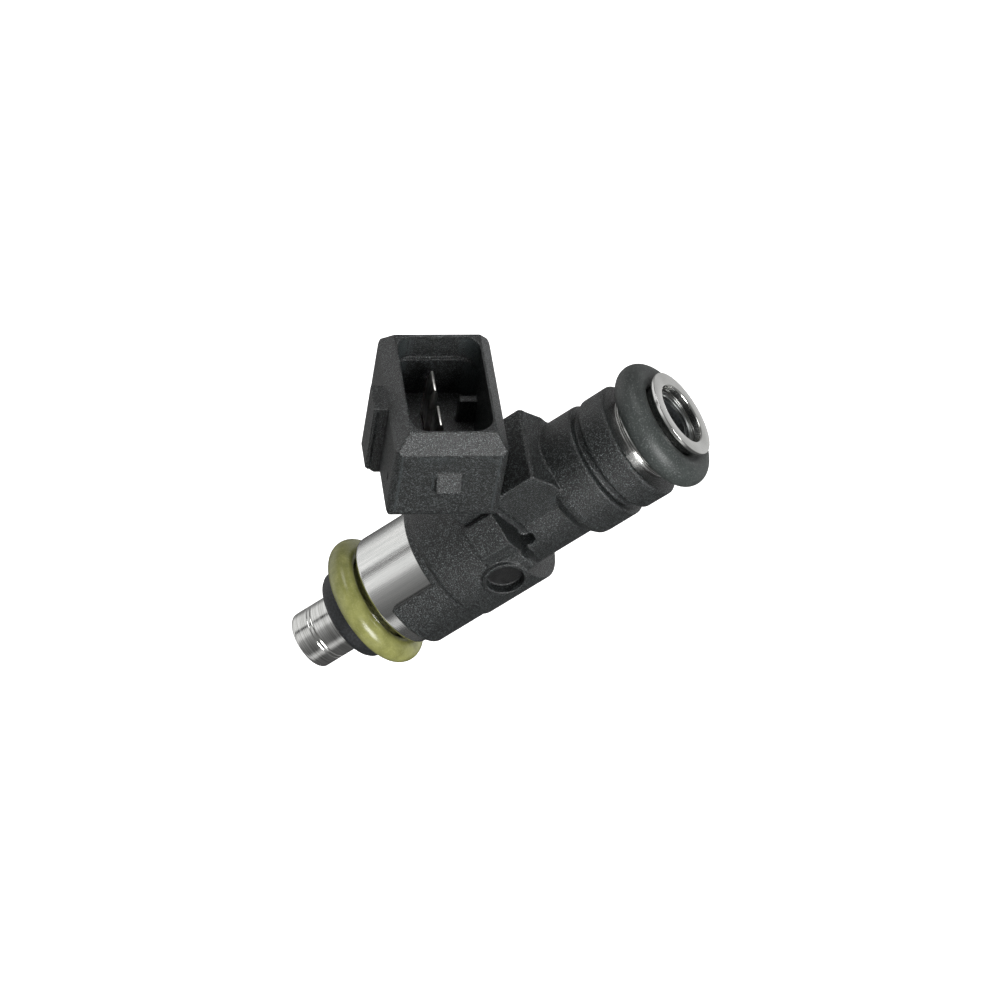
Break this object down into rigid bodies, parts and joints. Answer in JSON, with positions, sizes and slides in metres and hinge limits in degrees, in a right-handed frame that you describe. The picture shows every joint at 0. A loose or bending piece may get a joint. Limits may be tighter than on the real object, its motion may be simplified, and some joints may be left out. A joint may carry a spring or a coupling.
{
  "type": "fuel injector",
  "caption": "Electromagnetic fuel injector: slim steel nozzle, seal rings at both ends, dark moulded body with a tilted two-blade socket, and a spring-closed ball valve inside.",
  "frame": {"origin": "centre of the lower seal ring on the injector's axis, where the injector seats in the manifold", "axes": "+Z along the injector's axis towards the fuel inlet; the electrical socket leans towards -Y; X runs across the socket"},
  "size_m": [0.0184, 0.0327, 0.0505],
  "materials": {
    "turned_steel": "fine turned stainless steel",
    "drawn_steel": "bright drawn stainless steel, polished along its length",
    "hard_steel": "hardened and ground",
    "magnet_iron": "turned ferritic steel",
    "ring_steel": "non-magnetic stainless steel with laser welds",
    "spring_steel": "drawn spring wire",
    "rolled_brass": "rolled strip",
    "filter_steel": "pressed steel collar",
    "enamelled_copper": "enamelled copper wire",
    "tinned_strip": "tin-plated bronze strip",
    "body_plastic": "glass-filled plastic with a fine spark-eroded grain",
    "spool_plastic": "moulded",
    "retainer_plastic": "moulded, slightly blue",
    "filter_plastic": "moulded",
    "filter_cloth": "woven filter cloth",
    "grey_rubber": "matte",
    "olive_rubber": "matte with a slight sheen"
  },
  "bodies": {
    "injector": {"nozzle_body": "turned_steel", "valve_seat": "hard_steel", "spray_plate": "hard_steel", "return_spring": "spring_steel", "adjusting_sleeve": "rolled_brass", "pole_piece": "magnet_iron", "non_magnetic_ring": "ring_steel", "inlet_tube": "turned_steel", "magnet_housing": "drawn_steel", "flux_washer": "magnet_iron", "coil_spool": "spool_plastic", "coil_winding": "enamelled_copper", "terminal_left": "tinned_strip", "terminal_right": "tinned_strip", "moulded_body": "body_plastic", "upper_seal_ring": "grey_rubber", "lower_seal_ring": "olive_rubber", "seal_retainer": "retainer_plastic", "filter_collar": "filter_steel", "filter_frame": "filter_plastic", "filter_mesh": "filter_cloth"},
    "valve": {"valve_ball": "hard_steel", "needle_tube": "turned_steel", "armature": "magnet_iron"}
  },
  "joints": [
    {"name": "needle_lift", "type": "slide", "parent": "injector", "child": "valve", "axis": [0, 0, 1], "range_m": [0, 0.00007], "stiffness_N_per_m": 2000, "deforming": ["return_spring"]}
  ]
}
